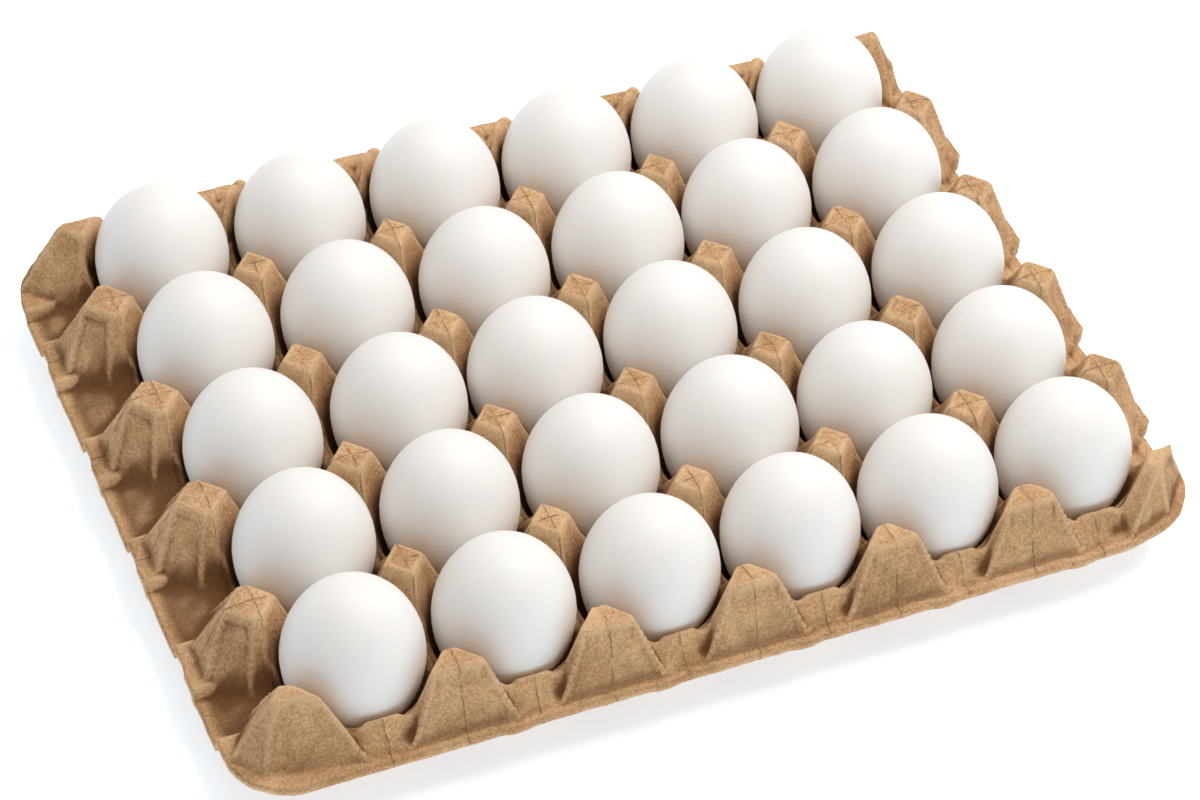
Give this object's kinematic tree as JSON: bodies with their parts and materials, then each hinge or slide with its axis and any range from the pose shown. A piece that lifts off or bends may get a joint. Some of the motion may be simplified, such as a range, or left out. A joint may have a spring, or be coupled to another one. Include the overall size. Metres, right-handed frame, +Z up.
{
  "type": "egg tray with eggs",
  "caption": "Shallow moulded paper pulp tray with rows of deep cups between hollow pointed posts, a narrow flange all round, and a white egg standing in every cup.",
  "frame": {"origin": "middle of the tray's outline, on the surface that the cups stand on", "axes": "+X along the long side of the tray, +Y from the front edge to the back edge, +Z up"},
  "size_m": [0.33, 0.242, 0.0612],
  "materials": {
    "pulp": "matt moulded paper pulp, fine fibres and seam lines",
    "eggshell": "white eggshell with a soft satin sheen"
  },
  "bodies": {
    "root": {"tray": "pulp", "egg_01": "eggshell", "egg_02": "eggshell", "egg_03": "eggshell", "egg_04": "eggshell", "egg_05": "eggshell", "egg_06": "eggshell", "egg_07": "eggshell", "egg_08": "eggshell", "egg_09": "eggshell", "egg_10": "eggshell", "egg_11": "eggshell", "egg_12": "eggshell", "egg_13": "eggshell", "egg_14": "eggshell", "egg_15": "eggshell", "egg_16": "eggshell", "egg_17": "eggshell", "egg_18": "eggshell", "egg_19": "eggshell", "egg_20": "eggshell", "egg_21": "eggshell", "egg_22": "eggshell", "egg_23": "eggshell", "egg_24": "eggshell", "egg_25": "eggshell", "egg_26": "eggshell", "egg_27": "eggshell", "egg_28": "eggshell", "egg_29": "eggshell", "egg_30": "eggshell"}
  },
  "joints": []
}
